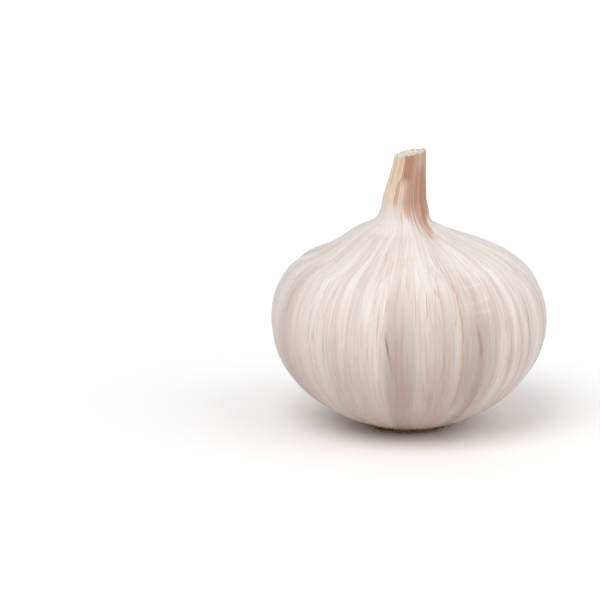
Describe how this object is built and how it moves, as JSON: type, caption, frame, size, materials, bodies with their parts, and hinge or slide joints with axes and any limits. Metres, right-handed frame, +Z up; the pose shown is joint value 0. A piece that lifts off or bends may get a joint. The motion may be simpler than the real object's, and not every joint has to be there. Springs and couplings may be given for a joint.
{
  "type": "garlic bulb",
  "caption": "Whole garlic bulb in white papery skin with a cut neck, standing upright on its trimmed root plate.",
  "frame": {"origin": "centre of the root plate's flat resting face", "axes": "+Z up along the bulb from the root plate to the neck; -Y is the front, the side seen in the picture; +X is to the right of it"},
  "size_m": [0.0594, 0.0592, 0.0605],
  "materials": {
    "papery_skin": "satin: thin dry off-white skin with fine tan veins running from root to neck",
    "root_cork": "matte: dry corky cream disc with tan to brown trimmed roots round it"
  },
  "bodies": {
    "root": {"bulb": "papery_skin", "root_plate": "root_cork"}
  },
  "joints": []
}
